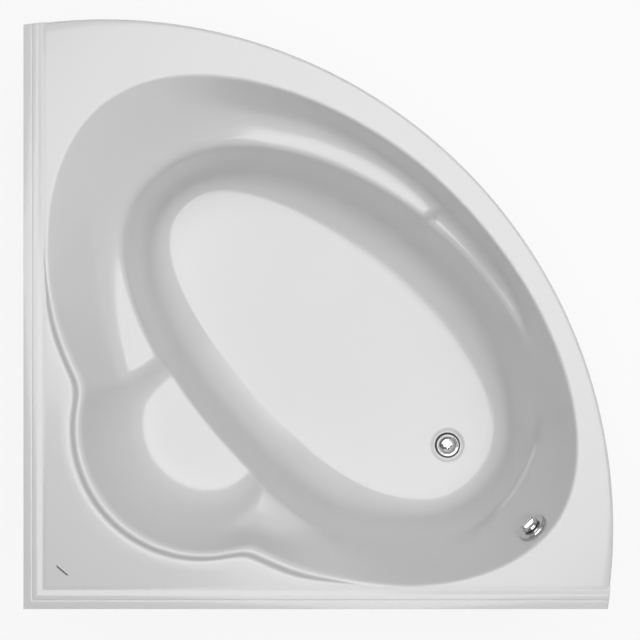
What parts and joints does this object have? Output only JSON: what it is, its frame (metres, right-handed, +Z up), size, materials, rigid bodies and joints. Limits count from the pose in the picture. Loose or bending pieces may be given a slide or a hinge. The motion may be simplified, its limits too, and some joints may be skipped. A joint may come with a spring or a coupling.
{
  "type": "corner bathtub",
  "caption": "Corner bathtub with a long diagonal basin, a corner seat bay with a rolled edge, armrest ledges, a curved front panel, a pop-up waste and an overflow knob.",
  "frame": {"origin": "centre of the footprint on the floor", "axes": "+Z up; the square room corner is at -X +Y, the left wall is at +Y, the right wall at -X, and the curved front faces +X and -Y"},
  "size_m": [1.3999, 1.3999, 0.6019],
  "materials": {
    "acrylic": "gloss white acrylic",
    "laminate": "raw glass fibre laminate",
    "badge": "satin, plain",
    "board": "raw chipboard",
    "batten": "planed softwood",
    "frame_steel": "grey powder coat",
    "zinc": "zinc plated",
    "foot_plastic": "moulded black",
    "panel_acrylic": "gloss white acrylic",
    "chrome": "polished",
    "seal_rubber": "matt black",
    "waste_plastic": "moulded white",
    "hose_plastic": "soft grey",
    "cable_sheath": "satin black sheath"
  },
  "bodies": {
    "tub": {"bath_shell": "acrylic", "glassfibre_backing": "laminate", "badge_plate": "badge", "base_board": "board", "rim_batten_left": "batten", "rim_batten_right": "batten", "rim_batten_front": "batten", "wall_plates": "zinc", "wall_plate_screws": "zinc", "rail_front": "frame_steel", "rail_back": "frame_steel", "cross_rail": "frame_steel", "seat_post": "frame_steel", "seat_pad": "board", "rail_screws": "zinc", "cross_bolts": "zinc", "foot_nuts": "zinc", "front_panel": "panel_acrylic", "panel_brace_1": "zinc", "panel_brace_2": "zinc", "panel_brace_3": "zinc", "brace_screws": "zinc", "fold_bolts": "zinc", "panel_screws": "chrome", "waste_flange": "chrome", "flange_seal": "seal_rubber", "waste_gasket": "seal_rubber", "waste_body": "waste_plastic", "trap_body": "waste_plastic", "trap_nut": "waste_plastic", "outlet_nut": "waste_plastic", "outlet_pipe": "waste_plastic", "overflow_plate": "chrome", "overflow_seal": "seal_rubber", "overflow_gasket": "seal_rubber", "overflow_body": "waste_plastic", "overflow_hose": "hose_plastic", "hose_nut_top": "waste_plastic", "hose_nut_low": "waste_plastic", "control_cable": "cable_sheath"},
    "foot_1": {"foot_pad_1": "foot_plastic", "foot_stud_1": "zinc"},
    "foot_2": {"foot_pad_2": "foot_plastic", "foot_stud_2": "zinc"},
    "foot_3": {"foot_pad_3": "foot_plastic", "foot_stud_3": "zinc"},
    "foot_4": {"foot_pad_4": "foot_plastic", "foot_stud_4": "zinc"},
    "foot_5": {"foot_pad_5": "foot_plastic", "foot_stud_5": "zinc"},
    "plug": {"plug_cap": "chrome", "plug_seal": "seal_rubber", "plug_stem": "chrome", "plug_lifter": "chrome"},
    "knob": {"overflow_knob": "chrome", "knob_spindle": "zinc"}
  },
  "joints": [
    {"name": "foot_1_screw", "type": "slide", "parent": "tub", "child": "foot_1", "axis": [0, 0, -1], "range_m": [-0.012, 0.012]},
    {"name": "foot_2_screw", "type": "slide", "parent": "tub", "child": "foot_2", "axis": [0, 0, -1], "range_m": [-0.012, 0.012]},
    {"name": "foot_3_screw", "type": "slide", "parent": "tub", "child": "foot_3", "axis": [0, 0, -1], "range_m": [-0.012, 0.012]},
    {"name": "foot_4_screw", "type": "slide", "parent": "tub", "child": "foot_4", "axis": [0, 0, -1], "range_m": [-0.012, 0.012]},
    {"name": "foot_5_screw", "type": "slide", "parent": "tub", "child": "foot_5", "axis": [0, 0, -1], "range_m": [-0.012, 0.012]},
    {"name": "plug_lift", "type": "slide", "parent": "tub", "child": "plug", "axis": [0, 0, 1], "range_m": [0, 0.01]},
    {"name": "knob_turn", "type": "hinge", "parent": "tub", "child": "knob", "pos_m": [-0.52251, -0.52104, 0.528], "axis": [0.6872, 0.6767, 0.2644], "range_deg": [0, 80]}
  ],
  "couplings": [
    {"joint": "knob_turn", "follows": "plug_lift", "rad_per_m": 139.62}
  ]
}
